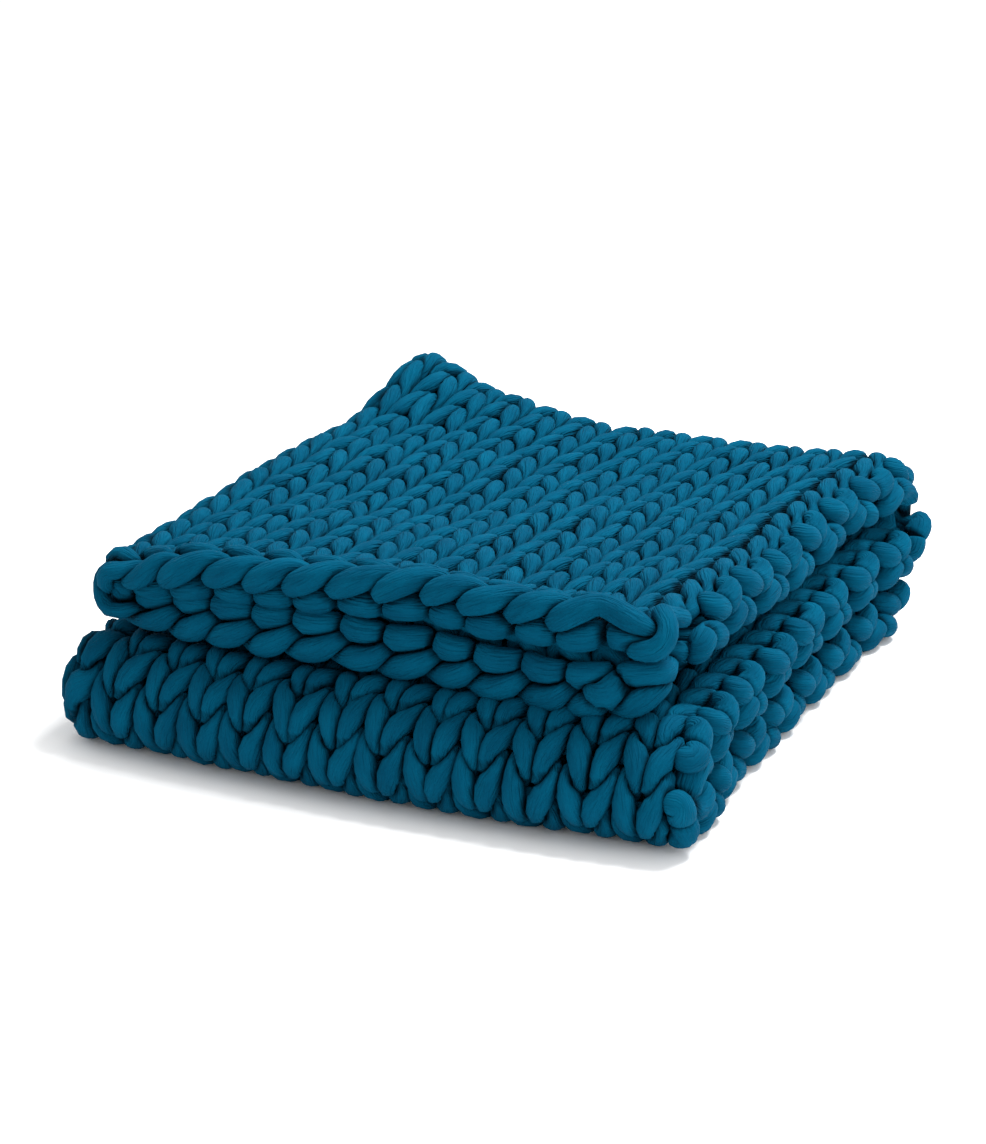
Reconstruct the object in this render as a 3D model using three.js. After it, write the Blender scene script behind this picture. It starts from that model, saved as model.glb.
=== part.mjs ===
// A chunky hand-knitted weighted blanket, folded into a low square stack.
// It is one knitted sheet. It is doubled across its width, with the fold on the left, and
// the doubled sheet is then folded in three along its length, so the stack has six layers.
// Millimetres, +Z up. The origin is on the floor, under the middle of the stack.
// +X runs along the front edge of the stack and +Y runs to its back.
import * as THREE from 'three';

// The knitted sheet
const HALF_WIDTH = 610;        // from the left fold line to either side edge
const WALES = 13;              // columns of stitches across each half
const THICK = 24.8;            // from the knit face to the purl face
const RIB = 4.2;               // depth of the furrow between two columns of stitches
const EDGE = { out: 9, part: 0.75 };   // an edge stands out in its middle and thins at its faces

// The bind-off edge curls into a roll towards the knit face. Its rise above the middle of the
// sheet changes along the edge, from the side edge on top, round the left fold, to the one below.
const ROLL = { out: 26, from: 32, length: 16, crest: 0.35, part: 0.9, furrow: 0.35 };
const ROLL_RISE = {
  across: [-610, -300, -100, 100, 300, 480, 610],
  rise:   [38, 35, 25, 27, 40, 40, 30],
};

// The neat fold, before the stack settles
const LAYER = 27;              // spacing of the layers
const LAYERS = 6;
const LOWER_LAYERS = 4;        // those of the bottom and middle panels
const FRONT_AXIS = -295;       // axis of the fold at the front, along Y
const BACK_AXIS = 295;         // axis of the fold at the back
const CAST_ON_Y = 270;         // where the bottom panel ends, inside the back fold
const BIND_OFF_Y = -282;       // where the top panel ends, at the front
const DOUBLE = LAYER;          // half the thickness of the doubled sheet
const CORNER = LAYER / 2;      // radius of the left fold

// How the sheet is divided into faces
const ARC_STEPS = 6;           // round the left fold
const STEPS = { bottom: 4, fold: 7, middle: 5, top: 8, roll: 4 };
const ROLL_PANEL = 65;         // the last stretch of the top panel, divided more finely

// Where the sides of the stack lie at four places from front to back
const SIDES = {
  y:        [-360, -150, 100, 360],
  lowLeft:  [-283, -280, -275, -262],
  topLeft:  [-262, -272, -275, -252],
  lowRight: [312, 302, 302, 318],
  topRight: [280, 284, 284, 303],
};

// Height of the four lower layers, from left to right, at the front and at the back
const LOWER_X = [-270, -100, 300];
const LOWER_HEIGHT = [
  { y: -100, height: [100, 103, 108] },
  { y: 310, height: [118, 104, 108] },
];

// Height of the whole stack, from left to right, at five places from front to back
const TOP_X = [-270, -150, 0, 150, 300];
const TOP_HEIGHT = [
  { y: -300, height: [172, 186, 189, 182, 194] },
  { y: -160, height: [173, 176, 177, 178, 189] },
  { y: 0, height: [173, 169, 167, 169, 181] },
  { y: 180, height: [178, 170, 166, 166, 177] },
  { y: 310, height: [216, 188, 169, 166, 176] },
];

// Larger slack forms: a hollow inside the back fold, a front fold that bows across its width
// and slumps at its foot, a back left corner that sticks out, and a shallow ripple on top
const HOLLOW = { height: 18, from: 20, length: 200, leftPart: 0.6, levels: 0.2 };
const FRONT_BOW = { depth: 16, halfWidth: 300, from: -200, length: 100 };
const FRONT_SLUMP = { depth: 18, from: -200, length: 150, levels: 2.5 };
const BACK_CORNER = { reach: 30, from: -80, length: 200 };
const RIPPLE = { depth: 2.5, acrossX: 210, acrossY: 170 };

const ease = (a) => {
  const c = Math.min(Math.max(a, 0), 1);
  return c * c * (3 - 2 * c);
};

const mix = (a, b, part) => a + (b - a) * part;

// Smooth value between the rows of a short table
function between(at, places, values) {
  const last = places.length - 2;
  let row = 0;
  while (row < last && at > places[row + 1]) row += 1;
  return mix(values[row], values[row + 1], ease((at - places[row]) / (places[row + 1] - places[row])));
}

// Smooth height out of a table whose rows run from left to right
const tableHeight = (rows, places, x, y) => between(
  y,
  rows.map((row) => row.y),
  rows.map((row) => between(x, places, row.height)),
);

// The middle of the doubled sheet runs along the bottom panel to the front, round the
// front fold, back along the middle panel, round the back fold and forward on top.
const SECTIONS = [
  { name: 'bottom', length: CAST_ON_Y - FRONT_AXIS, steps: STEPS.bottom },
  { name: 'frontFold', length: Math.PI * DOUBLE, steps: STEPS.fold },
  { name: 'middle', length: BACK_AXIS - FRONT_AXIS, steps: STEPS.middle },
  { name: 'backFold', length: Math.PI * DOUBLE, steps: STEPS.fold },
  { name: 'top', start: BACK_AXIS, length: BACK_AXIS - BIND_OFF_Y - ROLL_PANEL, steps: STEPS.top },
  { name: 'roll', start: BIND_OFF_Y + ROLL_PANEL, length: ROLL_PANEL, steps: STEPS.roll },
];

// A point of that middle line and the direction across it, towards the outer half sheet
function middleLine(section, along) {
  const turn = along / DOUBLE;
  if (section.name === 'bottom') {
    return { y: CAST_ON_Y - along, z: DOUBLE, ny: 0, nz: -1 };
  }
  if (section.name === 'frontFold') {
    return {
      y: FRONT_AXIS - DOUBLE * Math.sin(turn),
      z: DOUBLE * (2 - Math.cos(turn)),
      ny: -Math.sin(turn),
      nz: -Math.cos(turn),
    };
  }
  if (section.name === 'middle') {
    return { y: FRONT_AXIS + along, z: 3 * DOUBLE, ny: 0, nz: 1 };
  }
  if (section.name === 'backFold') {
    return {
      y: BACK_AXIS + DOUBLE * Math.sin(turn),
      z: DOUBLE * (4 - Math.cos(turn)),
      ny: -Math.sin(turn),
      nz: Math.cos(turn),
    };
  }
  return { y: section.start - along, z: 5 * DOUBLE, ny: 0, nz: -1 };
}

// A point of the neatly folded sheet. across is the distance from the left fold line, and is
// negative on the half that ends on top. lift is the height above the middle of the sheet,
// towards the knit face, and out is how far past the side edge the point lies.
function neatPoint(line, across, lift, out) {
  const turn = Math.min(Math.max(across / CORNER, -Math.PI / 2), Math.PI / 2);
  const flat = Math.max(Math.abs(across) - CORNER * Math.PI / 2, 0);
  const reach = (CORNER + lift) * Math.sin(turn);
  return {
    x: flat - (CORNER + lift) * Math.cos(turn) + out,
    y: line.y + reach * line.ny,
    z: line.z + reach * line.nz - (LAYER - THICK) / 2,
  };
}

const FLAT_WIDTH = HALF_WIDTH - CORNER * Math.PI / 2;

// Height of a level of the neat fold, in layers from the floor, once it has settled
function settledHeight(level, x, y) {
  const lower = tableHeight(LOWER_HEIGHT, LOWER_X, x, y);
  const ripple = RIPPLE.depth * Math.sin(x / RIPPLE.acrossX * Math.PI)
    * Math.cos(y / RIPPLE.acrossY * Math.PI);
  const top = tableHeight(TOP_HEIGHT, TOP_X, x, y) + ripple;
  const hollow = HOLLOW.height * ease((y - HOLLOW.from) / HOLLOW.length)
    * mix(HOLLOW.leftPart, 1, ease(0.5 + x / HALF_WIDTH));
  const base = lower + hollow;
  const slack = Math.max(top - base - 2 * LAYER, 0);
  const quarter = (top - base - slack) / 4;
  const levels = [LOWER_LAYERS, LOWER_LAYERS + 0.5, LAYERS - 0.5, LAYERS];
  const heights = [base, base + slack + quarter, top - quarter, top];
  let row = 0;
  while (row < 2 && level > levels[row + 1]) row += 1;
  const part = (level - levels[row]) / (levels[row + 1] - levels[row]);
  const upper = mix(heights[row], heights[row + 1], part);
  const opens = ease((level - LOWER_LAYERS) / HOLLOW.levels + 0.5);
  return mix(level * lower / LOWER_LAYERS, upper, opens);
}

// Settles a point of the neat fold to where it lies in the real, uneven stack
function settle({ x, y, z }) {
  const level = z / LAYER;
  const upper = ease((level - LOWER_LAYERS + 0.4) / 1.2);
  const side = (low, top) => mix(between(y, SIDES.y, low), between(y, SIDES.y, top), upper);
  const left = side(SIDES.lowLeft, SIDES.topLeft);
  const right = side(SIDES.lowRight, SIDES.topRight);
  const settledX = mix(left, right, x / FLAT_WIDTH);

  const bow = FRONT_BOW.depth * (settledX / FRONT_BOW.halfWidth) ** 2
    * ease((FRONT_BOW.from - y) / FRONT_BOW.length);
  const slump = FRONT_SLUMP.depth * ease((FRONT_SLUMP.from - y) / FRONT_SLUMP.length)
    * (1 - ease((level - 1) / FRONT_SLUMP.levels));
  const corner = BACK_CORNER.reach * ease((BACK_CORNER.from - settledX) / BACK_CORNER.length)
    * ease(y / BACK_AXIS);
  return new THREE.Vector3(settledX, y + bow - slump + corner, settledHeight(level, settledX, y));
}

// The knit face of the bottom layer lies flat on the floor
const isUnderside = (row, column) => row.line.z === DOUBLE && column.across > 0;

// How far the knit face is raised in the roll: 0 on the flat of the sheet and 1 at its bind-off edge
const rolled = (line) => (line.z > 4 * DOUBLE ? ease((BIND_OFF_Y + ROLL.from - line.y) / ROLL.length) : 0);

// A settled point of one face of the sheet. Where the layers lie loose, the sheet stays as thin
// as it is, and thickens only in the roll at the bind-off edge.
function facePoint(row, column, lift, out = 0, ahead = 0) {
  const place = (height) => {
    const neat = neatPoint(row.line, column.across, height, out);
    neat.y += ahead;
    return settle(neat);
  };
  const middle = place(0);
  if (lift === 0) return middle;
  if (lift > 0 && isUnderside(row, column)) return place(lift);
  const reach = place(lift).sub(middle);
  const flat = Math.min(reach.length(), Math.abs(lift));
  if (lift < 0) return middle.add(reach.setLength(flat));
  const raised = between(column.across, ROLL_RISE.across, ROLL_RISE.rise) * lift / (THICK / 2);
  return middle.add(reach.setLength(mix(flat, raised, rolled(row.line))));
}

// Places across the sheet: two faces to each column of stitches, and a round left fold.
// furrow is 1 in the furrow between two columns and 0 on their crown.
function columnPlaces() {
  const wale = HALF_WIDTH / WALES;
  const arc = CORNER * Math.PI / 2;
  const half = [];
  for (let step = 0; step * wale / 2 < HALF_WIDTH - arc - wale / 4; step += 1) {
    half.unshift({ across: HALF_WIDTH - step * wale / 2, furrow: step > 0 ? (step + 1) % 2 : 0 });
  }
  const places = half.map((place) => ({ across: -place.across, furrow: place.furrow })).reverse();
  for (let step = 0; step <= ARC_STEPS; step += 1) {
    places.push({ across: mix(-arc, arc, step / ARC_STEPS), furrow: 0 });
  }
  return places.concat(half);
}

// Places along the sheet, from the cast-on edge to the bind-off edge
function rowPlaces() {
  const places = [];
  for (const section of SECTIONS) {
    for (let step = 0; step < section.steps; step += 1) {
      places.push({ section, line: middleLine(section, section.length * step / section.steps) });
    }
  }
  const top = SECTIONS[SECTIONS.length - 1];
  places.push({ section: top, line: middleLine(top, top.length) });
  return places;
}

// The folded blanket: a knit face, a purl face and a rounded rim that joins them
function foldedSheet() {
  const columns = columnPlaces();
  const rows = rowPlaces();
  const wide = columns.length;
  const points = [];
  const faces = [];

  const lastRow = rows.length - 1;
  const lastColumn = wide - 1;
  const thinning = (row, column, side) => {
    if (row === lastRow && side > 0) return ROLL.part;
    const atEdge = row === 0 || row === lastRow || column === 0 || column === lastColumn;
    return atEdge ? EDGE.part : 1;
  };
  const face = (side) => rows.forEach((row, rowPlace) => columns.forEach((column, columnPlace) => {
    const ribbed = side > 0 && !isUnderside(row, column);
    const furrow = ribbed ? column.furrow * RIB * mix(1, ROLL.furrow, rolled(row.line)) : 0;
    const lift = side * (THICK / 2 - furrow) * thinning(rowPlace, columnPlace, side);
    points.push(facePoint(row, column, lift));
  }));
  face(1);
  face(-1);

  const purl = rows.length * wide;
  const quad = (a, b, c, d) => faces.push(a, c, b, a, d, c);
  for (let row = 0; row < rows.length - 1; row += 1) {
    for (let column = 0; column < wide - 1; column += 1) {
      const a = row * wide + column;
      quad(a, a + wide, a + wide + 1, a + 1);
      quad(purl + a, purl + a + 1, purl + a + wide + 1, purl + a + wide);
    }
  }

  // The rim, once round the sheet, with its middle standing out
  const rim = [];
  for (let column = 0; column < lastColumn; column += 1) rim.push([0, column]);
  for (let row = 0; row < lastRow; row += 1) rim.push([row, lastColumn]);
  for (let column = lastColumn; column > 0; column -= 1) rim.push([lastRow, column]);
  for (let row = lastRow; row > 0; row -= 1) rim.push([row, 0]);
  const crest = points.length;
  for (const [row, column] of rim) {
    const out = column === 0 || column === lastColumn ? EDGE.out : 0;
    const castOn = row === 0 ? EDGE.out : 0;
    const bindOff = row === lastRow ? ROLL.out : 0;
    const lift = row === lastRow ? ROLL.crest * THICK / 2 : 0;
    points.push(facePoint(rows[row], columns[column], lift, out, castOn - bindOff));
  }
  rim.forEach(([row, column], place) => {
    const next = (place + 1) % rim.length;
    const here = row * wide + column;
    const there = rim[next][0] * wide + rim[next][1];
    quad(here, there, crest + next, crest + place);
    quad(crest + place, crest + next, purl + there, purl + here);
  });

  const geometry = new THREE.BufferGeometry().setFromPoints(points);
  geometry.setIndex(faces);
  geometry.computeVertexNormals();
  return geometry;
}

// The stack is set down with the middle of its box over the origin
function centred(geometry) {
  geometry.computeBoundingBox();
  const middle = geometry.boundingBox.getCenter(new THREE.Vector3());
  return geometry.translate(-middle.x, -middle.y, -geometry.boundingBox.min.z);
}

const jersey = new THREE.MeshStandardMaterial({ color: 0x0f5f86, roughness: 0.85, metalness: 0 });

const blanket = new THREE.Mesh(centred(foldedSheet()), jersey);
blanket.name = 'knit_blanket';

const stack = new THREE.Group();
stack.add(blanket);

export default stack;
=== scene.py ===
"""A chunky hand-knitted weighted blanket, folded into a low stack, for Blender 4.5.

The blanket is one knitted sheet of thick stuffed tube yarn. It is doubled across its width,
with the fold on the left, and the doubled sheet is folded in three along its length. Every
stitch is a bend of the yarn, laid on the folded sheet that the CAD solid also follows.
All sizes are in metres.
"""
import math

import bpy
import numpy as np
from mathutils import Matrix, Vector


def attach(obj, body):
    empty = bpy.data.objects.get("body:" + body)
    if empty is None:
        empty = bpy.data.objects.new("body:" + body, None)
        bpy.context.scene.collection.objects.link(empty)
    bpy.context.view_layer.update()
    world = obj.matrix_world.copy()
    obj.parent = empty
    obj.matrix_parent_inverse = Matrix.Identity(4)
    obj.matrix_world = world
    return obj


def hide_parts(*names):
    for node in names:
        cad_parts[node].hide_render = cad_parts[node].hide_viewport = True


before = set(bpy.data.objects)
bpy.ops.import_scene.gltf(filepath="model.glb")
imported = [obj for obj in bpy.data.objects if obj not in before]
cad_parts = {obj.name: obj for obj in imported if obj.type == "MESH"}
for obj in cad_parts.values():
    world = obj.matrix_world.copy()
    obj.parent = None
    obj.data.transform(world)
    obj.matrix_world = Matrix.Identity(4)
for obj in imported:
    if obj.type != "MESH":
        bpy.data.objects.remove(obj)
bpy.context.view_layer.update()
NODE = "knit_blanket"

# ---------------------------------------------------------------- the folded sheet
HALF_WIDTH = 0.610      # from the left fold line to either side edge
LAYER = 0.027           # spacing of the layers in the neat fold
SHEET = 0.0248          # thickness of the sheet in the solid
LAYERS = 6
LOWER_LAYERS = 4        # those of the bottom and middle panels
FRONT_AXIS = -0.295     # axis of the front fold, along Y
BACK_AXIS = 0.295       # axis of the back fold
CAST_ON_Y = 0.270       # where the bottom panel ends
BIND_OFF_Y = -0.282     # where the top panel ends
DOUBLE = LAYER          # half the thickness of the doubled sheet
CORNER = LAYER / 2      # radius of the left fold
FLAT_WIDTH = HALF_WIDTH - CORNER * math.pi / 2

# Where the sides of the stack lie, from front to back, and the levels over which the low sides
# pass into the top's. A level is a height in the neat fold, counted in layers from the floor.
SIDES_Y = [-0.360, -0.150, 0.100, 0.360]
LOW_LEFT = [-0.283, -0.280, -0.275, -0.262]
TOP_LEFT = [-0.262, -0.272, -0.275, -0.252]
LOW_RIGHT = [0.312, 0.302, 0.302, 0.318]
TOP_RIGHT = [0.280, 0.284, 0.284, 0.303]
TOP_SIDES = dict(start=LOWER_LAYERS - 0.4, levels=1.2)
HALF_LAYER = 0.5

# Height of the four lower layers: a row of heights from left to right at each y
LOWER_X = [-0.270, -0.100, 0.300]
LOWER_Y = [-0.100, 0.310]
LOWER_HEIGHT = [
    [0.100, 0.103, 0.108],
    [0.118, 0.104, 0.108],
]

# Height of the whole stack
TOP_X = [-0.270, -0.150, 0.000, 0.150, 0.300]
TOP_Y = [-0.300, -0.160, 0.000, 0.180, 0.310]
TOP_HEIGHT = [
    [0.172, 0.186, 0.189, 0.182, 0.194],
    [0.173, 0.176, 0.177, 0.178, 0.189],
    [0.173, 0.169, 0.167, 0.169, 0.181],
    [0.178, 0.170, 0.166, 0.166, 0.177],
    [0.216, 0.188, 0.169, 0.166, 0.176],
]

# Larger slack forms: a hollow inside the back fold, a front fold that bows across its width and
# slumps at its foot, a back left corner that sticks out, and a shallow ripple on top
HOLLOW = dict(height=0.018, start=0.020, length=0.200, left_part=0.6, levels=0.2)
FRONT_BOW = dict(depth=0.016, half_width=0.300, start=-0.200, length=0.100)
FRONT_SLUMP = dict(depth=0.018, start=-0.200, length=0.150, level=1, levels=2.5)
BACK_CORNER = dict(reach=0.030, start=-0.080, length=0.200)
RIPPLE = dict(depth=0.0025, across_x=0.210, across_y=0.170)
MIDDLE = (0.00887, 0.00724)     # middle of the settled stack's box, where the origin is


def ease(part):
    """Smooth rise from 0 to 1."""
    part = np.clip(part, 0.0, 1.0)
    return part * part * (3.0 - 2.0 * part)


def rise(at, middle, length):
    """Smooth rise from 0 to 1 over a length round a middle."""
    return ease((at - middle) / length + 0.5)


def mix(a, b, part):
    return a + (b - a) * part


def between(at, places, values):
    """Smooth value between the entries of a short table. An entry may be an array."""
    row = np.clip(np.searchsorted(places, at) - 1, 0, len(places) - 2)
    places = np.asarray(places)
    part = ease((at - places[row]) / (places[row + 1] - places[row]))
    stacked = np.stack([np.broadcast_to(value, np.shape(at)) for value in values])
    low = np.take_along_axis(stacked, row[None], axis=0)[0]
    high = np.take_along_axis(stacked, row[None] + 1, axis=0)[0]
    return mix(low, high, part)


def table_height(x, y, places_x, places_y, heights):
    """Smooth height out of a table whose rows run from left to right."""
    return between(y, places_y, [between(x, places_x, row) for row in heights])


def settled_height(level, x, y):
    """Height of a level of the neat fold once it has settled."""
    lower = table_height(x, y, LOWER_X, LOWER_Y, LOWER_HEIGHT)
    ripple = RIPPLE["depth"] * np.sin(x / RIPPLE["across_x"] * math.pi) \
        * np.cos(y / RIPPLE["across_y"] * math.pi)
    top = table_height(x, y, TOP_X, TOP_Y, TOP_HEIGHT) + ripple
    hollow = HOLLOW["height"] * ease((y - HOLLOW["start"]) / HOLLOW["length"]) \
        * mix(HOLLOW["left_part"], 1.0, rise(x, 0.0, HALF_WIDTH))
    base = lower + hollow
    slack = np.maximum(top - base - 2 * LAYER, 0.0)
    quarter = (top - base - slack) / 4
    lowest = base + slack
    first = mix(base, lowest + quarter, (level - LOWER_LAYERS) / HALF_LAYER)
    second = mix(lowest + quarter, top - quarter, level - LOWER_LAYERS - HALF_LAYER)
    third = mix(top - quarter, top, (level - LAYERS + HALF_LAYER) / HALF_LAYER)
    upper = np.where(level < LAYERS - HALF_LAYER, second, third)
    upper = np.where(level < LOWER_LAYERS + HALF_LAYER, first, upper)
    opens = rise(level, LOWER_LAYERS, HOLLOW["levels"])
    return mix(level * lower / LOWER_LAYERS, upper, opens)


def settle(x, y, z):
    """Where a point of the neat fold lies in the real, uneven stack."""
    level = z / LAYER
    upper = ease((level - TOP_SIDES["start"]) / TOP_SIDES["levels"])
    left = mix(between(y, SIDES_Y, LOW_LEFT), between(y, SIDES_Y, TOP_LEFT), upper)
    right = mix(between(y, SIDES_Y, LOW_RIGHT), between(y, SIDES_Y, TOP_RIGHT), upper)
    settled = mix(left, right, x / FLAT_WIDTH)
    bow = FRONT_BOW["depth"] * (settled / FRONT_BOW["half_width"]) ** 2 \
        * ease((FRONT_BOW["start"] - y) / FRONT_BOW["length"])
    slump = FRONT_SLUMP["depth"] * ease((FRONT_SLUMP["start"] - y) / FRONT_SLUMP["length"]) \
        * (1 - ease((level - FRONT_SLUMP["level"]) / FRONT_SLUMP["levels"]))
    corner = BACK_CORNER["reach"] * ease((BACK_CORNER["start"] - settled) / BACK_CORNER["length"]) \
        * ease(y / BACK_AXIS)
    return np.stack([
        settled - MIDDLE[0],
        y + bow - slump + corner - MIDDLE[1],
        settled_height(level, settled, y),
    ], axis=-1)


# ---------------------------------------------------------------- knit coordinates
WALES = 26              # columns of stitches across the whole sheet
ROWS = 47               # rows from the cast-on edge to the bind-off edge
NEUTRAL = 0.006         # height above the middle of the sheet where the stitches keep their size
FOLD_SHARE = 0.12       # how far from the left fold the two halves go their own way
EDGE_TURN = 0.022       # room for the turns of the yarn at each side edge
QUARTER = (CORNER + NEUTRAL) * math.pi / 2
KNIT_HALF = FLAT_WIDTH + QUARTER - EDGE_TURN
WALE = 2 * KNIT_HALF / WALES

PANELS = [CAST_ON_Y - FRONT_AXIS, BACK_AXIS - FRONT_AXIS, BACK_AXIS - BIND_OFF_Y]
FOLD = math.pi * DOUBLE
MIDDLE_LENGTHS = [PANELS[0], FOLD, PANELS[1], FOLD, PANELS[2]]
STARTS = np.cumsum([0.0] + MIDDLE_LENGTHS)
LENGTH = sum(MIDDLE_LENGTHS)
ROW = LENGTH / ROWS

# How far the bind-off edge turns towards the knit face, in radians, along the edge: more on the
# lower half (x > 0) than on top, where its middle turns the other way
CURL_X = [-0.600, -0.400, -0.250, -0.060, 0.000, 0.060, 0.160, 0.270, 0.340, 0.500, 0.590]
CURL_TURN = [0.10, 0.05, -0.18, -0.34, -0.20, 0.02, 0.10, 0.20, 0.36, 0.36, 0.22]
CURL_LENGTH = 0.034     # the last stretch of the sheet, which turns
LEAST_TURN = 1e-3       # stands for no turn at all


def middle_line(along):
    """The middle of the doubled sheet: y, z and the direction to its outer half."""
    front = np.clip((along - STARTS[1]) / DOUBLE, 0, math.pi)
    back = np.clip((along - STARTS[3]) / DOUBLE, 0, math.pi)
    panels = [along < start for start in STARTS[1:5]]
    nothing = np.zeros_like(along)
    y = np.select(panels, [
        CAST_ON_Y - along,
        FRONT_AXIS - DOUBLE * np.sin(front),
        FRONT_AXIS + along - STARTS[2],
        BACK_AXIS + DOUBLE * np.sin(back),
    ], BACK_AXIS - along + STARTS[4])
    z = np.select(panels, [
        nothing + DOUBLE,
        DOUBLE * (2 - np.cos(front)),
        nothing + 3 * DOUBLE,
        DOUBLE * (4 - np.cos(back)),
    ], 5 * DOUBLE)
    ny = np.select(panels, [nothing, -np.sin(front), nothing, -np.sin(back)], 0.0)
    nz = np.select(panels, [nothing - 1, -np.cos(front), nothing + 1, np.cos(back)], -1.0)
    return y, z, ny, nz


def along_middle(x, y):
    """Place on the middle line of a row at y. The half sheet outside a fold is longer there."""
    half = np.sin(np.clip(x / FOLD_SHARE, -1, 1) * math.pi / 2)
    extra = half * math.pi * (CORNER + NEUTRAL)
    lengths = [PANELS[0], FOLD + extra, PANELS[1], FOLD - extra, PANELS[2]]
    along = np.zeros_like(y)
    start = 0.0
    for number, (length, middle_length) in enumerate(zip(lengths, MIDDLE_LENGTHS)):
        part = (y - start) / length
        if number > 0:
            part = np.maximum(part, 0.0)
        if number < len(lengths) - 1:
            part = np.minimum(part, 1.0)
        along = along + part * middle_length
        start = start + length
    return along


def sheet_point(x, y, lift=0.0):
    """A point of the folded sheet at knit coordinates: x across from the left fold line, negative
    on the half that ends on top, y along from the cast-on edge, lift towards the knit face."""
    turn = np.clip(x / (CORNER + NEUTRAL), -math.pi / 2, math.pi / 2)
    my, mz, ny, nz = middle_line(along_middle(x, y))
    out = (CORNER + lift) * np.sin(turn)
    neat_x = np.maximum(np.abs(x) - QUARTER, 0.0) - (CORNER + lift) * np.cos(turn)
    return settle(neat_x, my + out * ny, mz + out * nz - (LAYER - SHEET) / 2)


STEP = 0.0015           # for the differences that give directions on the sheet
SHORTEST = 1e-9         # length that a direction is worked out from


def unit(vectors):
    return vectors / np.maximum(np.linalg.norm(vectors, axis=-1, keepdims=True), SHORTEST)


def slopes(surface, x, y):
    """Change of a surface's points across and along the sheet."""
    across = (surface(x + STEP, y) - surface(x - STEP, y)) / (2 * STEP)
    along = (surface(x, y + STEP) - surface(x, y - STEP)) / (2 * STEP)
    return across, along


def neutral_point(x, y):
    return sheet_point(x, y) + unit(np.cross(*slopes(sheet_point, x, y))) * NEUTRAL


def sheet_frame(x, y):
    """Middle point, directions across and along, and normal of the sheet, with its curled edge."""
    hinge = LENGTH - CURL_LENGTH
    flat_y = np.minimum(y, hinge)
    point = sheet_point(x, flat_y)
    across, along = slopes(neutral_point, x, flat_y)
    normal = unit(np.cross(across, along))
    beyond = np.maximum(y - hinge, 0.0)
    full = between(x, CURL_X, CURL_TURN)
    full = np.where(np.abs(full) < LEAST_TURN, LEAST_TURN, full)
    turn = full * np.minimum(beyond / CURL_LENGTH, 1.0)
    radius = CURL_LENGTH / full
    straight = np.maximum(beyond - CURL_LENGTH, 0.0)
    ahead = radius * np.sin(turn) + straight * np.cos(turn)
    raised = radius * (1 - np.cos(turn)) + straight * np.sin(turn)
    forward = unit(along)
    point = point + forward * ahead[..., None] + normal * raised[..., None]
    cos, sin = np.cos(turn)[..., None], np.sin(turn)[..., None]
    return point, across, along * cos + normal * sin, normal * cos - forward * sin


COVERED = 0.93          # what is left of the height of a stitch between two layers
UNCOVERED_OVER = 0.040  # length over which a stitch comes out from between two layers
OPEN_FOLD = dict(reach=0.018, length=0.030)     # the knit face is open round the left fold
OPEN_EDGE = 0.030       # and so is this last stretch, at the bind-off edge
TIGHT_FOLD = dict(part=0.35, reach=0.042, length=0.060)     # the edge is flatter at the left fold
CROWDING_REACH = 0.006  # distance from the middle of the sheet at which its crowding is measured


def free_part(x, y):
    """1 where the knit face is open to the air and 0 where another layer lies on it, and 1 at the
    bind-off edge."""
    along = along_middle(x, y)
    front_fold = rise(along, STARTS[1], UNCOVERED_OVER) * (1 - rise(along, STARTS[2], UNCOVERED_OVER))
    outer_front = front_fold * rise(x, 0.0, UNCOVERED_OVER)
    outer_back = rise(along, STARTS[3], UNCOVERED_OVER) * rise(-x, 0.0, UNCOVERED_OVER)
    left_fold = 1 - ease((np.abs(x) - OPEN_FOLD["reach"]) / OPEN_FOLD["length"])
    edge = ease((y - LENGTH) / OPEN_EDGE + 1.0)
    return np.maximum.reduce([outer_back, outer_front, left_fold, edge]), edge


def height_scales(x, y):
    """How much the heights above and below the middle of the sheet are pressed together."""
    apart = sheet_point(x, y, CROWDING_REACH) - sheet_point(x, y, -CROWDING_REACH)
    local = np.minimum(np.linalg.norm(apart, axis=-1) / (2 * CROWDING_REACH), 1.0)
    free, edge = free_part(x, y)
    at_fold = 1 - ease((np.abs(x) - TIGHT_FOLD["reach"]) / TIGHT_FOLD["length"])
    flatter = 1 - TIGHT_FOLD["part"] * edge * at_fold
    return mix(COVERED * local, 1.0, free) * flatter, mix(COVERED * local, 1.0, edge)


# ---------------------------------------------------------------- unevenness of hand knitting
GRID = 72               # places each way in a grid of random values
GRID_START = (36, 4)    # which of them lies at the left fold line and at the cast-on edge

# The shifts of the stitches: how far, the seed, and the size of what shifts together
SHIFTS = {
    "across": (0.0036, 11, 0.034),
    "wide_across": (0.0050, 12, 0.110),
    "along": (0.0042, 13, 0.036),
    "wide_along": (0.0030, 14, 0.095),
    "up": (0.0018, 15, 0.040),
}
STEADY_EDGE = 0.080     # the side edges don't take the wide shift across


def wander(kind, x, y):
    """Smooth seeded shift of one kind over the sheet."""
    far, seed, cell = SHIFTS[kind]
    grid = np.random.default_rng(seed).uniform(-1, 1, (GRID, GRID))
    u, v = x / cell + GRID_START[0], y / cell + GRID_START[1]
    i = np.clip(np.floor(u).astype(int), 0, GRID - 2)
    j = np.clip(np.floor(v).astype(int), 0, GRID - 2)
    part = ease(u - i)
    low = mix(grid[i, j], grid[i + 1, j], part)
    high = mix(grid[i, j + 1], grid[i + 1, j + 1], part)
    return far * mix(low, high, ease(v - j))


def uneven(x, y):
    """Shifts of the stitches across and along the sheet and up."""
    inside = ease((KNIT_HALF - np.abs(x)) / STEADY_EDGE)
    across = wander("across", x, y) + inside * wander("wide_across", x, y)
    along = wander("along", x, y) + wander("wide_along", x, y)
    return across, along, wander("up", x, y)


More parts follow.
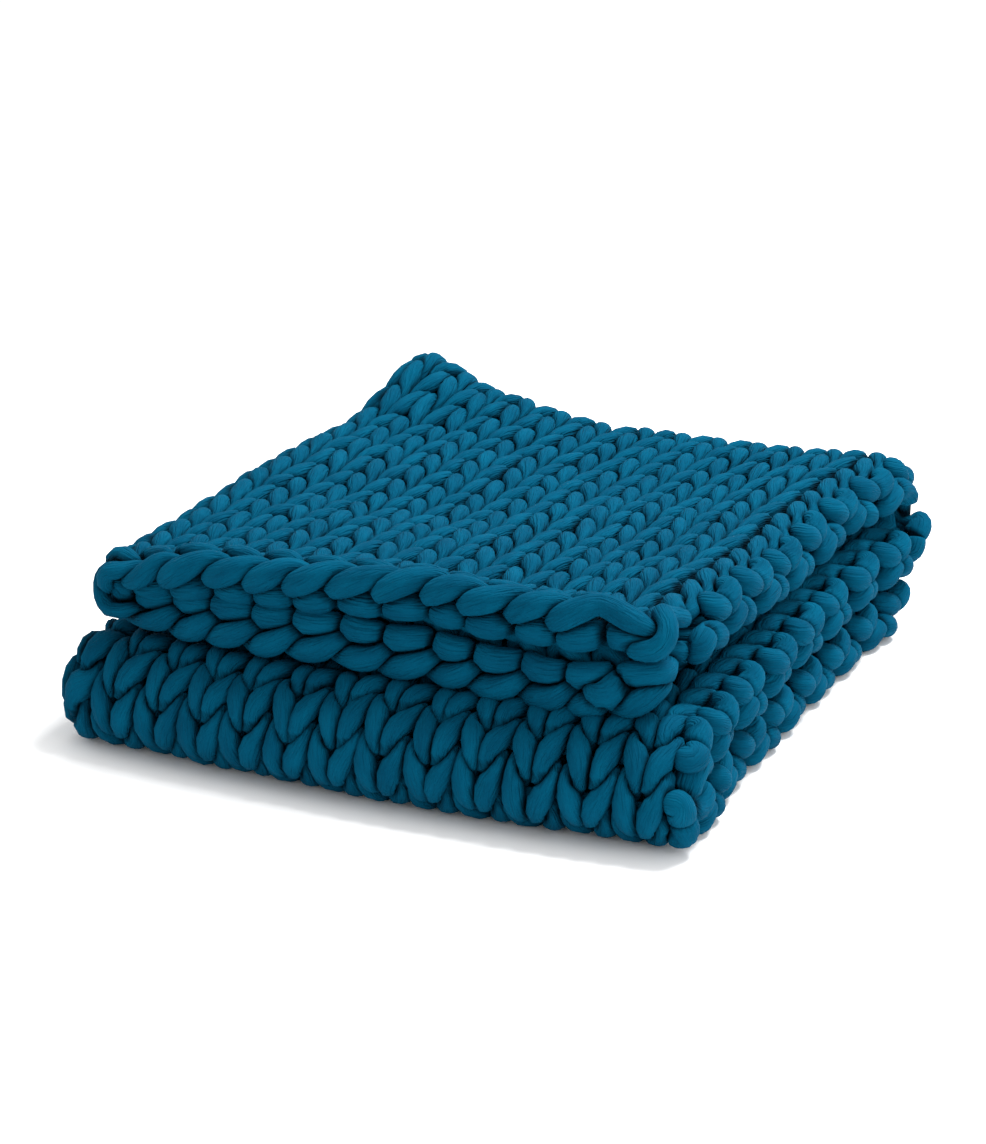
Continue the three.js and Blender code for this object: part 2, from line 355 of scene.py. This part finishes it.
OPEN_BY = 0.24          # how much wider the outer column on top is, in columns
OPEN_OVER = 3.0         # how many columns beside it are pushed together for that
OPEN_START = 0.080      # length past the start of the back fold over which it comes about
HELD_IN = dict(part=0.6, rows=2)    # how much of it the chain holds back, and over how many rows


def open_edge(x, y):
    """Sideways shift at the right edge of the top, where the outer column hangs open."""
    column = (KNIT_HALF + x) / WALE
    sideways = ease(column) * (1 - ease((column - 1) / OPEN_OVER))
    held_in = HELD_IN["part"] * ease((y - LENGTH) / ROW + HELD_IN["rows"])
    return OPEN_BY * WALE * sideways * ease((y - STARTS[3]) / OPEN_START) * (1 - held_in)


# ---------------------------------------------------------------- one stitch on the flat sheet
SWING = 0.240 * WALE    # how far a leg of the loop leans sideways
TALL = 0.82 * ROW       # half the height of a loop
LEG_LIFT = 0.0042       # the legs lie on the knit face
HEAD_DROP = 0.0062      # the heads and feet of the loops lie on the purl face
LEAN = -0.0055          # the foot of a leg lies over the top of the leg below it
EDGE_OUT = -0.0024      # the heads of the last row are held in by the chain
EDGE_UP = 0.0030        # and stand up against it

# Half the width and half the depth of the yarn, from the foot (0) to the head (1) of a loop
YARN_TURN = [0.00, 0.14, 0.30, 0.50, 0.66, 0.84, 1.00]
YARN_WIDE = [0.0086, 0.0102, 0.0121, 0.0124, 0.0109, 0.0085, 0.0077]
YARN_DEEP = [0.0080, 0.0090, 0.0104, 0.0106, 0.0098, 0.0086, 0.0080]
LAST_HEAD = (1.62, 1.72)    # the heads of the last row are this much wider and deeper


def loop_line(t, last):
    """Middle of the yarn, with t from -pi to pi over one loop: foot, leg, head, leg, foot. last is
    1 in the last row, whose heads the chain goes through, and 0 in the others."""
    head = np.maximum(np.cos(t), 0.0) ** 2 * last
    x = WALE * t / (2 * math.pi) + SWING * np.sin(2 * t)
    y = TALL * np.cos(t) + EDGE_OUT * head
    z = (LEG_LIFT - HEAD_DROP) / 2 - (LEG_LIFT + HEAD_DROP) / 2 * np.cos(2 * t) \
        + LEAN * np.cos(t) * np.sin(t) ** 2 + EDGE_UP * head
    return np.stack([x, y, z], axis=-1)


def yarn_size(t, last):
    """Half the width and half the depth of the yarn over one loop."""
    up = 1 - np.abs(t) / math.pi
    head = np.maximum(np.cos(t), 0.0) ** 2 * last
    wide = between(up, YARN_TURN, YARN_WIDE) * mix(1, LAST_HEAD[0], head)
    deep = between(up, YARN_TURN, YARN_DEEP) * mix(1, LAST_HEAD[1], head)
    return np.stack([wide, deep], axis=-1)


def spline(points, steps):
    """Catmull-Rom curve through rows of numbers."""
    padded = np.concatenate([2 * points[:1] - points[1:2], points, 2 * points[-1:] - points[-2:-1]])
    out = []
    for place in range(len(points) - 1):
        a, b, c, d = padded[place:place + 4]
        for step in range(steps):
            u = step / steps
            out.append(0.5 * (2 * b + (c - a) * u + (2 * a - 5 * b + 4 * c - d) * u ** 2
                              + (3 * b - a - 3 * c + d) * u ** 3))
    out.append(points[-1])
    return np.array(out)


# Half of a turn at a side edge, from the foot of the last loop of a row towards the next row: out,
# along in rows, up, and half the thickness of the yarn
TURN = [
    (0.0000, 0.00, 0.0000, 0.0100),
    (0.0058, -0.02, 0.0024, 0.0112),
    (0.0106, 0.02, 0.0004, 0.0126),
    (0.0118, 0.22, -0.0054, 0.0136),
    (0.0100, 0.50, -0.0080, 0.0132),
]
TURN_STEPS = 3          # rings to each entry of this table
EDGE_LIFT = 0.0055      # the yarn leaves the last loop nearer the knit face
LAST_LEG = 2 / 3        # from this part of the way from its head to its foot


def half_turn(side, up):
    """Half of a turn: to the right (side 1) or left (-1), towards the next row (up 1) or the row
    before (-1)."""
    curve = spline(np.array(TURN), TURN_STEPS)[1:]
    line = curve[:, :3] * np.array([side, up * ROW, 1.0])
    return line, np.repeat(curve[:, 3:4], 2, axis=1)


# One link of the bind-off chain: place across in columns of stitches from the middle of its own
# column, place along from the edge, height, and half the thickness of the yarn. It comes up
# through its loop, lies over the next column and comes back down beside the place where it came up.
LINK = [
    (-0.50, -0.0120, -0.0105, 0.0128),
    (-0.28, -0.0070, -0.0080, 0.0114),
    (-0.15, -0.0030, -0.0010, 0.0090),
    (-0.08, -0.0010, 0.0090, 0.0086),
    (0.08, 0.0030, 0.0175, 0.0086),
    (0.30, 0.0070, 0.0225, 0.0092),
    (0.50, 0.0100, 0.0235, 0.0104),
    (0.76, 0.0150, 0.0220, 0.0120),
    (1.05, 0.0185, 0.0180, 0.0133),
    (1.32, 0.0175, 0.0130, 0.0131),
    (1.50, 0.0110, 0.0100, 0.0118),
    (1.56, 0.0035, 0.0095, 0.0112),
    (1.50, -0.0040, 0.0110, 0.0118),
    (1.30, -0.0090, 0.0150, 0.0128),
    (1.02, -0.0090, 0.0190, 0.0124),
    (0.72, -0.0060, 0.0215, 0.0108),
    (0.46, -0.0030, 0.0210, 0.0092),
    (0.26, -0.0040, 0.0130, 0.0086),
    (0.12, -0.0070, 0.0030, 0.0088),
    (0.12, -0.0120, -0.0070, 0.0104),
    (0.28, -0.0150, -0.0120, 0.0122),
]
# Where the chain starts, beside the last row, in the same columns
CHAIN_START = [
    (-0.50, -0.0480, -0.0010, 0.0095),
    (-0.50, -0.0340, 0.0030, 0.0098),
    (-0.40, -0.0180, 0.0090, 0.0104),
    (-0.42, -0.0040, 0.0125, 0.0110),
    (-0.58, 0.0040, 0.0060, 0.0116),
    (-0.60, 0.0110, -0.0040, 0.0116),
    (-0.42, 0.0160, -0.0110, 0.0116),
    (-0.12, 0.0160, -0.0120, 0.0104),
    (0.00, 0.0060, -0.0130, 0.0092),
    (-0.20, -0.0010, -0.0080, 0.0088),
    (-0.38, 0.0040, -0.0010, 0.0096),
    (-0.22, 0.0110, 0.0035, 0.0120),
    (0.02, 0.0125, 0.0100, 0.0130),
    (0.24, 0.0110, 0.0175, 0.0120),
]
FIRST_PLACE = 6         # entry of LINK at which the first link is taken up
# How the chain is fastened off, past the foot of its last link
CHAIN_END = [
    (0.50, -0.0080, -0.0050, 0.0105),
    (0.62, 0.0000, -0.0020, 0.0125),
    (0.60, 0.0110, 0.0040, 0.0165),
    (0.42, 0.0180, 0.0080, 0.0170),
    (0.18, 0.0180, 0.0060, 0.0130),
    (0.04, 0.0100, 0.0000, 0.0090),
]
# The last link is this much shorter past its start, in columns, as no other follows it
LAST_LINK = dict(start=0.30, length=0.80)

FINE = 26               # rings of points to a loop where it shows
SIDES = 18              # points to a ring
LINK_STEPS = 2          # rings to each entry of the chain tables


def row_strand(row, wales, rows):
    """One row of the flat sheet, from its left turn to its right turn. Each entry has a key that
    says which column and which ring of it the entry is."""
    last = 1.0 if row == rows - 1 else 0.0
    t = -math.pi + 2 * math.pi * np.arange(FINE) / FINE
    lines, sizes, keys = [], [], []
    for wale in range(wales):
        line = loop_line(t, last) + np.array([(wale + 0.5) * WALE, 0.0, 0.0])
        if wale in (0, wales - 1):
            outwards = (-t if wale == 0 else t) / math.pi
            line[:, 2] += EDGE_LIFT * ease((outwards - LAST_LEG) / (1 - LAST_LEG))
        lines.append(line)
        sizes.append(yarn_size(t, last))
        keys += [(wale, ring) for ring in range(FINE)]
    end = np.array([math.pi])
    lines.append(loop_line(end, last) + np.array([(wales - 0.5) * WALE, 0.0, EDGE_LIFT]))
    sizes.append(yarn_size(end, last))
    keys.append((wales, 0))
    odd = row % 2
    if row > 0:
        line, size = half_turn(1, 1 if odd else -1)
        lines.append(line + lines[-1])
        sizes.append(size)
        keys += [("right", ring) for ring in range(len(line))]
    if row < rows - 1:
        line, size = half_turn(-1, -1 if odd else 1)
        lines.insert(0, line[::-1] + lines[0][:1])
        sizes.insert(0, size[::-1])
        keys = [("left", ring) for ring in range(len(line))] + keys
    line = np.concatenate(lines) + np.array([0.0, (row + 0.5) * ROW, 0.0])
    return line, np.concatenate(sizes), keys


def chain_strand(wales, rows):
    """The bind-off chain, with a link in every column but the last, which the last link covers."""
    table, keys = [], []
    last_wale = wales - 2
    for place, (x, y, z, size) in enumerate(CHAIN_START):
        table.append(((x + 0.5) * WALE, y, z, size))
        keys.append(("start", place))
    for wale in range(wales - 1):
        for place, (x, y, z, size) in enumerate(LINK):
            if wale == 0 and place < FIRST_PLACE:
                continue
            if wale == last_wale and x > LAST_LINK["start"]:
                x = mix(LAST_LINK["start"], x, LAST_LINK["length"])
            table.append(((wale + 0.5 + x) * WALE, y, z, size))
            keys.append((wale, place))
    for place, (x, y, z, size) in enumerate(CHAIN_END):
        table.append(((last_wale + 0.5 + x) * WALE, y, z, size))
        keys.append(("end", place))
    curve = spline(np.array(table), LINK_STEPS)
    keys = [(key[0], key[1] * LINK_STEPS + step) for key in keys for step in range(LINK_STEPS)]
    line = curve[:, :3] + np.array([0.0, rows * ROW, 0.0])
    return line, np.repeat(curve[:, 3:4], 2, axis=1), keys[:len(line)]


def level_directions(line):
    """Directions across the yarn, one of them level, for yarn that lies flat."""
    tangent = unit(np.gradient(line, axis=0))
    side = unit(np.cross(tangent, np.array([0.0, 0.0, 1.0])))
    return side, np.cross(side, tangent)


def carried_directions(line, keys):
    """Directions across yarn that also climbs: carried along it, and level at the foot of every
    link, so that all the links are alike."""
    tangent = unit(np.gradient(line, axis=0))
    side, up = level_directions(line)
    feet = [n for n, key in enumerate(keys) if key[1] == 0 and key[0] not in ("start", "end")]
    feet = [0] + feet + [len(line) - 1]
    for first, final in zip(feet[:-1], feet[1:]):
        carried = side[first]
        vectors = []
        for n in range(first, final + 1):
            carried = unit(carried - tangent[n] * np.dot(carried, tangent[n]))
            vectors.append(carried)
        vectors = np.array(vectors)
        target = side[final] if final < len(line) - 1 else vectors[-1]
        turned_by = np.dot(np.cross(vectors[-1], target), tangent[final])
        twist = math.atan2(turned_by, np.dot(vectors[-1], target))
        angle = twist * np.linspace(0, 1, len(vectors))[:, None]
        normal = np.cross(tangent[first:final + 1], vectors)
        side[first:final + 1] = vectors * np.cos(angle) + normal * np.sin(angle)
    return side, np.cross(side, tangent)


# ---------------------------------------------------------------- yarn pressing on yarn
SOFT = 4.5              # lower rounds the creases more
OWN = 0.034             # yarn nearer than this along itself doesn't press on itself
NEAR = 0.045            # only yarn nearer than this is tested
TRIED = np.linspace(0.2, 1.6, 22)   # parts of the yarn's size at which its room is tested
BATCH = 24              # rings that are worked out together
NOT_TESTED = 9.0        # stands for the distance of the yarn's own next stretch
LEAST_FALL = 1e-6       # of the room, between two tested parts


def lengths_along(line):
    steps = np.linalg.norm(np.diff(line, axis=0), axis=1)
    return np.concatenate([[0.0], np.cumsum(steps)])


def ring_offsets(size, side, up):
    """Points of the round, unpressed yarn, from its middle line."""
    angle = np.arange(SIDES) / SIDES * 2 * math.pi
    return side[:, None] * (np.cos(angle)[None, :, None] * size[:, None, :1]) \
        + up[:, None] * (np.sin(angle)[None, :, None] * size[:, None, 1:])


def meeting_part(room):
    """Part of the way out at which the room that is left falls to nothing."""
    crossed = room < 0
    meets = crossed.any(axis=0)
    after = np.where(meets, np.argmax(crossed, axis=0), len(TRIED) - 1)
    before = np.maximum(after - 1, 0)
    here = np.take_along_axis(room, before[None], axis=0)[0]
    there = np.take_along_axis(room, after[None], axis=0)[0]
    part_way = np.clip(here / np.maximum(here - there, LEAST_FALL), 0, 1)
    return np.where(meets, mix(TRIED[before], TRIED[after], part_way), TRIED[-1])


def press(strands):
    """Moves each point of each yarn's skin in to where it meets the yarns round it. A strand is
    its middle line, its half sizes and its two directions across. Gives the rings of offsets from
    the middle line, and the part of its size that is left at each point."""
    middles = np.concatenate([line for line, size, side, up in strands])
    radii = np.concatenate([np.sqrt(size[:, 0] * size[:, 1]) for line, size, side, up in strands])
    owner = np.concatenate([np.full(len(strand[0]), n) for n, strand in enumerate(strands)])
    place = np.concatenate([lengths_along(strand[0]) for strand in strands])
    results = []
    for number, (line, size, side, up) in enumerate(strands):
        offset = ring_offsets(size, side, up)
        own_place = lengths_along(line)
        share = np.ones(offset.shape[:2])
        for first in range(0, len(line), BATCH):
            part = slice(first, first + BATCH)
            low, high = line[part].min(axis=0) - NEAR, line[part].max(axis=0) + NEAR
            near = np.all((middles > low) & (middles < high), axis=1)
            apart = np.abs(place[near][None] - own_place[part][:, None])
            same = (owner[near][None] == number) & (apart < OWN)
            room = []
            for tried in TRIED:
                at = line[part][:, None] + offset[part] * tried
                gap = np.linalg.norm(at[:, :, None] - middles[near][None, None], axis=-1) / radii[near]
                room.append(np.where(same[:, None], NOT_TESTED, gap).min(axis=-1) - tried)
            limit = meeting_part(np.stack(room))
            share[part] = limit / (1 + limit ** SOFT) ** (1 / SOFT)
        results.append((offset * share[..., None], share))
    return results


# A small flat sheet with every kind of stitch: its edges, its corners and its chain. Its first
# and last stitches serve those of the blanket, and one of its columns and two of its rows serve
# all that lie between.
SAMPLE_WALES, SAMPLE_ROWS = 6, 7
FIRST_WALES, LAST_WALES = 2, 3
FIRST_ROWS, LAST_ROWS = 2, 2


def sample_stitches():
    """The pressed rings of each strand of the sample, by their keys."""
    strands, names = [], []
    for row in range(SAMPLE_ROWS):
        line, size, keys = row_strand(row, SAMPLE_WALES, SAMPLE_ROWS)
        strands.append((line, size, *level_directions(line)))
        names.append(keys)
    line, size, keys = chain_strand(SAMPLE_WALES, SAMPLE_ROWS)
    strands.append((line, size, *carried_directions(line, keys)))
    names.append(keys)
    pressed = press(strands)
    return [dict(zip(keys, zip(rings, share))) for keys, (rings, share) in zip(names, pressed)]


def sample_row(row):
    """The row of the sample that serves a row of the blanket."""
    if row < FIRST_ROWS:
        return row
    if row >= ROWS - LAST_ROWS:
        return SAMPLE_ROWS - ROWS + row
    return FIRST_ROWS + row % 2


def sample_key(key):
    """The key of the sample that serves a key of the blanket."""
    wale, ring = key
    if isinstance(wale, str) or wale < FIRST_WALES:
        return key
    if wale >= WALES - LAST_WALES:
        return SAMPLE_WALES - WALES + wale, ring
    return FIRST_WALES, ring


# ---------------------------------------------------------------- laying the yarn on the folded sheet
HALF_WALES = WALES // 2
# How far past the open stretches of the sheet a stitch may still be seen: behind the top, below
# and above the front fold, and how many columns and rows at the left fold and at the edges
SEEN = dict(behind=0.040, below=0.080, above=0.060, fold_wales=3, edge_wales=2, last_rows=2)
COARSE = 3              # every so many rings are kept of a stitch that can't be seen
FLOOR_SOFTNESS = 0.003  # height below which the yarn starts to flatten on the floor
FLOOR_DROP = 0.0003     # brings the flattened yarn down to the floor


def seen(row, wale):
    """Where a stitch can be seen, so that it gets all its rings."""
    from_fold = wale + 0.5 - HALF_WALES
    along = float(along_middle(np.array(from_fold * WALE), np.array((row + 0.5) * ROW)))
    on_top = from_fold < 0 and along > STARTS[3] - SEEN["behind"]
    in_front = from_fold > 0 and STARTS[1] - SEEN["below"] < along < STARTS[2] + SEEN["above"]
    at_fold = abs(from_fold) < SEEN["fold_wales"]
    at_side = wale < SEEN["edge_wales"] or wale >= WALES - SEEN["edge_wales"]
    return on_top or in_front or at_fold or at_side or row >= ROWS - SEEN["last_rows"]


def lay(line, rings):
    """Takes yarn from the flat sheet to the folded one."""
    x, y, z = line.T
    x = x - KNIT_HALF
    shift_across, shift_along, shift_up = uneven(x, y)
    widened = (open_edge(x + STEP, y) - open_edge(x - STEP, y)) / (2 * STEP)
    squeezed = np.minimum(1 + widened, 1.0)
    point, across, along, normal = sheet_frame(x + shift_across + open_edge(x, y), y + shift_along)
    across = across * squeezed[:, None]
    up, down = height_scales(x, y)
    height = z[:, None] + rings[..., 2] + shift_up[:, None]
    height = np.where(height > 0, height * up[:, None], height * down[:, None])
    laid = point[:, None] + rings[..., :1] * across[:, None] + rings[..., 1:2] * along[:, None] \
        + height[..., None] * normal[:, None]
    above = laid[..., 2]
    laid[..., 2] = (above + np.sqrt(above ** 2 + FLOOR_SOFTNESS ** 2)) / 2 - FLOOR_DROP
    return laid


def pressed_rings(sample, keys):
    """Rings of offsets and shares out of the sample, for the keys of some yarn."""
    found = [sample[sample_key(key)] for key in keys]
    return np.array([rings for rings, share in found]), np.array([share for rings, share in found])


def row_rings(row):
    line, size, keys = row_strand(row, WALES, ROWS)
    kept = []
    for n, (wale, ring) in enumerate(keys):
        fine = isinstance(wale, str) or wale == WALES or seen(row, wale)
        if fine or ring % COARSE == 0:
            kept.append(n)
    return line[kept], *pressed_rings(samples[sample_row(row)], [keys[n] for n in kept])


def chain_rings():
    line, size, keys = chain_strand(WALES, ROWS)
    return line, *pressed_rings(samples[-1], keys)


def turned(values):
    """The same yarn seen from its other end: its rings in reverse, each still starting level."""
    order = (SIDES // 2 - np.arange(SIDES)) % SIDES
    return values[::-1][:, order]


def serpentine(rows):
    """Rows joined by their turns into one length of yarn."""
    lines, rings, shares = [], [], []
    for row in rows:
        line, ring, share = row_rings(row)
        if row % 2 == 0:
            line, ring, share = line[::-1], turned(ring), turned(share)
        skip = 1 if lines else 0
        lines.append(line[skip:])
        rings.append(ring[skip:])
        shares.append(share[skip:])
    return np.concatenate(lines), np.concatenate(rings), np.concatenate(shares)


def tube_mesh(name, laid):
    """One closed tube through rings of points, smooth but for its two flat ends."""
    count = len(laid)
    points = laid.reshape(-1, 3)
    ring, corner = np.meshgrid(np.arange(count - 1), np.arange(SIDES), indexing="ij")
    start = ring * SIDES + corner
    after = ring * SIDES + (corner + 1) % SIDES
    quads = np.stack([start, after, after + SIDES, start + SIDES], axis=-1).reshape(-1, 4)
    first_end = np.arange(SIDES)[::-1]
    last_end = (count - 1) * SIDES + np.arange(SIDES)
    faces = np.concatenate([quads.ravel(), first_end, last_end])
    totals = np.concatenate([np.full(len(quads), 4), [SIDES, SIDES]])
    starts = np.concatenate([[0], np.cumsum(totals)[:-1]])

    mesh = bpy.data.meshes.new(name)
    mesh.vertices.add(len(points))
    mesh.vertices.foreach_set("co", points.ravel())
    mesh.loops.add(len(faces))
    mesh.loops.foreach_set("vertex_index", faces)
    mesh.polygons.add(len(totals))
    mesh.polygons.foreach_set("loop_start", starts)
    mesh.polygons.foreach_set("loop_total", totals)
    mesh.update(calc_edges=True)
    mesh.polygons.foreach_set("use_smooth", totals == 4)
    return mesh


YARN_RADIUS = 0.0125    # of the yarn in the straight coordinates of its skin


def straight_points(laid):
    """Where the points of a tube would lie on the same yarn pulled straight."""
    place = lengths_along(laid.mean(axis=1))
    angle = np.arange(SIDES) / SIDES * 2 * math.pi
    shape = laid.shape[:2]
    return np.stack([
        np.broadcast_to(place[:, None], shape),
        np.broadcast_to(YARN_RADIUS * np.cos(angle), shape),
        np.broadcast_to(YARN_RADIUS * np.sin(angle), shape),
    ], axis=-1)


def yarn_piece(name, line, rings, share, material):
    """One closed tube of yarn. Its skin knows its straight coordinates, and where it is pressed."""
    laid = lay(line, rings)
    mesh = tube_mesh(name, laid)
    straight = mesh.attributes.new("yarn", "FLOAT_VECTOR", "POINT")
    straight.data.foreach_set("vector", straight_points(laid).ravel())
    pressed = mesh.attributes.new("pressed", "FLOAT", "POINT")
    pressed.data.foreach_set("value", (1 - share).ravel())
    mesh.materials.append(material)
    piece = bpy.data.objects.new(name, mesh)
    bpy.context.scene.collection.objects.link(piece)
    return piece


# ---------------------------------------------------------------- material
DEEP_BLUE = (0.0001, 0.0440, 0.0880, 1)
BLUE = (0.0002, 0.0740, 0.1380, 1)
SHEEN_TINT = (0.05, 0.45, 0.80, 1)

# Noise in the skin: its scale along the yarn as a part of that across, its scale and its detail
STITCH_NOISE = dict(along=0.45, scale=1500.0, detail=1.0)
CREASE_NOISE = dict(along=0.16, scale=260.0, detail=2.0)
DENT_NOISE = dict(along=0.50, scale=60.0, detail=2.0)
NOISE_MIDDLE = 0.5
DENT_BUMP = dict(distance=0.0040, strength=0.30)
CREASE_BUMP = dict(distance=0.0100, strength=0.75)
STITCH_BUMP = dict(distance=0.0006, strength=0.35)
CREASES = dict(free=0.60, pressed=4.0)  # depth of a crease, and how it grows where yarn is pressed
SHADE = dict(dents=0.7, stitches=0.3, deepest=0.30, lightest=0.70)
# Painted shade in the creases between the yarns: the colour darkens where the yarn is pressed by this
# much, down to what is left of its colour
PAINTED_CREASE_SHADE = dict(start=0.06, full=0.34, left=0.18)
ROUGHNESS = dict(least=0.68, stitches=0.2)
SPECULAR = 0.02
SHEEN = dict(weight=0.02, roughness=0.45)


class Nodes:
    """Makes and joins the nodes of one material. An input is a value or another node's output."""

    def __init__(self, material):
        material.use_nodes = True
        self.tree = material.node_tree
        self.shader = self.tree.nodes["Principled BSDF"]

    def put(self, value, socket):
        if isinstance(value, bpy.types.NodeSocket):
            self.tree.links.new(value, socket)
        else:
            socket.default_value = value

    def make(self, kind, output, inputs, **settings):
        node = self.tree.nodes.new(kind)
        for name, value in settings.items():
            setattr(node, name, value)
        for name, value in inputs.items():
            self.put(value, node.inputs[name])
        return node.outputs[output]

    def attribute(self, name, output):
        return self.make("ShaderNodeAttribute", output, {}, attribute_name=name)

    def noise(self, yarn, along, scale, detail):
        drawn_out = {"Vector": yarn, "Scale": (along, 1.0, 1.0)}
        place = self.make("ShaderNodeMapping", "Vector", drawn_out)
        return self.make("ShaderNodeTexNoise", "Fac", {"Vector": place, "Scale": scale, "Detail": detail})

    def maths(self, operation, *values):
        return self.make("ShaderNodeMath", "Value", dict(enumerate(values)), operation=operation)

    def blend(self, first, first_part, second, second_part):
        return self.maths(
            "ADD",
            self.maths("MULTIPLY", first, first_part),
            self.maths("MULTIPLY", second, second_part),
        )

    def bump(self, height, distance, strength, **normal):
        inputs = {"Height": height, "Distance": distance, "Strength": strength, **normal}
        return self.make("ShaderNodeBump", "Normal", inputs)


def skin_colour(nodes, pressed, dents, stitches):
    """Two blues by dents and knit, with painted shade that darkens the creases between the yarns where
    they press together.
    """
    ramp = nodes.tree.nodes.new("ShaderNodeValToRGB")
    deepest, lightest = ramp.color_ramp.elements
    deepest.position = SHADE["deepest"]
    deepest.color = DEEP_BLUE
    lightest.position = SHADE["lightest"]
    lightest.color = BLUE
    nodes.put(nodes.blend(dents, SHADE["dents"], stitches, SHADE["stitches"]), ramp.inputs["Fac"])
    # painted shade: the part of the colour left where the yarn is pressed, darkest in the creases between
    # the yarns
    left = nodes.make("ShaderNodeMapRange", "Result", {
        "Value": pressed,
        "From Min": PAINTED_CREASE_SHADE["start"],
        "From Max": PAINTED_CREASE_SHADE["full"],
        "To Min": 1.0,
        "To Max": PAINTED_CREASE_SHADE["left"],
    })
    colours = {"Factor": 1.0, "A": ramp.outputs["Color"], "B": left}
    return nodes.make("ShaderNodeMix", "Result", colours, data_type="RGBA", blend_type="MULTIPLY")


def skin_normal(nodes, pressed, dents, creases, stitches):
    """Soft dents, creases that run along the yarn, and the fine knit of the skin."""
    ridges = nodes.maths("ABSOLUTE", nodes.maths("SUBTRACT", creases, NOISE_MIDDLE))
    depth = nodes.maths("ADD", nodes.maths("MULTIPLY", pressed, CREASES["pressed"]), CREASES["free"])
    normal = nodes.bump(dents, **DENT_BUMP)
    normal = nodes.bump(nodes.maths("MULTIPLY", ridges, depth), **CREASE_BUMP, Normal=normal)
    return nodes.bump(stitches, **STITCH_BUMP, Normal=normal)


def jersey_tube():
    """The jersey skin of the yarn."""
    material = bpy.data.materials.new("jersey_tube")
    nodes = Nodes(material)
    yarn = nodes.attribute("yarn", "Vector")
    pressed = nodes.attribute("pressed", "Fac")
    stitches = nodes.noise(yarn, **STITCH_NOISE)
    creases = nodes.noise(yarn, **CREASE_NOISE)
    dents = nodes.noise(yarn, **DENT_NOISE)
    rough = nodes.maths("MULTIPLY", stitches, ROUGHNESS["stitches"])
    looks = {
        "Base Color": skin_colour(nodes, pressed, dents, stitches),
        "Normal": skin_normal(nodes, pressed, dents, creases, stitches),
        "Roughness": nodes.maths("ADD", rough, ROUGHNESS["least"]),
        "Specular IOR Level": SPECULAR,
        "Sheen Weight": SHEEN["weight"],
        "Sheen Roughness": SHEEN["roughness"],
        "Sheen Tint": SHEEN_TINT,
    }
    for name, value in looks.items():
        nodes.put(value, nodes.shader.inputs[name])
    return material


# ---------------------------------------------------------------- the pieces
# Each piece is one length of yarn. These go back and forth over their rows.
GROUPS = {
    "bottom_rows_a": range(0, 8),
    "bottom_rows_b": range(8, 14),
    "front_fold_rows": range(14, 19),
    "middle_rows": range(19, 30),
    "back_fold_rows": range(30, 37),
    "top_rows_a": range(37, 42),
    "top_rows_b": range(42, ROWS),
}

samples = sample_stitches()
jersey = jersey_tube()
pieces = [yarn_piece(name, *serpentine(rows), jersey) for name, rows in GROUPS.items()]
pieces.append(yarn_piece("bind_off_chain", *chain_rings(), jersey))
for piece in pieces:
    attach(piece, "root")
    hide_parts(NODE)

# ---------------------------------------------------------------- floor, light and camera
# Where the photo was taken from: place, degrees round from the front and above level, and the
# focal length in pixels of the photo
CAMERA = dict(place=(1.02590, -2.29533, 0.99840), azimuth=24.8, elevation=19.6, focal_px=2750.0)
PHOTO_HEIGHT_PX = 1144
SENSOR_MM = 36          # a new camera's sensor, along the longer side of the picture
LIGHTS = {
    "key": dict(place=(0.8, 0.9, 2.7), size=1.2, power=138),
    "side": dict(place=(2.6, -1.0, 1.3), size=1.6, power=20),
}
LIT_POINT = (0, 0, 0.1)
FLOOR = dict(size=30, colour=(0.96, 0.96, 0.96, 1), roughness=0.9)
SKY = dict(colour=(1, 1, 1, 1), strength=1.00)


def add_floor():
    bpy.ops.mesh.primitive_plane_add(size=FLOOR["size"], location=(0, 0, 0))
    floor = bpy.context.object
    floor.name = "floor"
    material = bpy.data.materials.new("pale_floor")
    material.use_nodes = True
    shader = material.node_tree.nodes["Principled BSDF"]
    shader.inputs["Base Color"].default_value = FLOOR["colour"]
    shader.inputs["Roughness"].default_value = FLOOR["roughness"]
    floor.data.materials.append(material)


def add_light(name, place, size, power):
    data = bpy.data.lights.new(name, "AREA")
    data.shape = "DISK"
    data.size = size
    data.energy = power
    light = bpy.data.objects.new(name, data)
    light.location = place
    direction = Vector(LIT_POINT) - Vector(place)
    light.rotation_euler = direction.to_track_quat("-Z", "Y").to_euler()
    bpy.context.scene.collection.objects.link(light)


def add_sky():
    world = bpy.data.worlds.new("world")
    world.use_nodes = True
    background = world.node_tree.nodes["Background"]
    background.inputs["Color"].default_value = SKY["colour"]
    background.inputs["Strength"].default_value = SKY["strength"]
    bpy.context.scene.world = world


def add_camera():
    data = bpy.data.cameras.new("camera")
    data.lens = CAMERA["focal_px"] / PHOTO_HEIGHT_PX * SENSOR_MM
    camera = bpy.data.objects.new("camera", data)
    az, el = math.radians(CAMERA["azimuth"]), math.radians(CAMERA["elevation"])
    back = np.array([math.sin(az) * math.cos(el), -math.cos(az) * math.cos(el), math.sin(el)])
    right = np.array([math.cos(az), math.sin(az), 0.0])
    up = np.cross(back, right)
    rows = [*zip(right, up, back, CAMERA["place"]), (0, 0, 0, 1)]
    camera.matrix_world = Matrix(rows)
    bpy.context.scene.collection.objects.link(camera)
    bpy.context.scene.camera = camera


add_floor()
for name, light in LIGHTS.items():
    add_light(name, **light)
add_sky()
add_camera()
bpy.context.scene.view_settings.view_transform = "Standard"
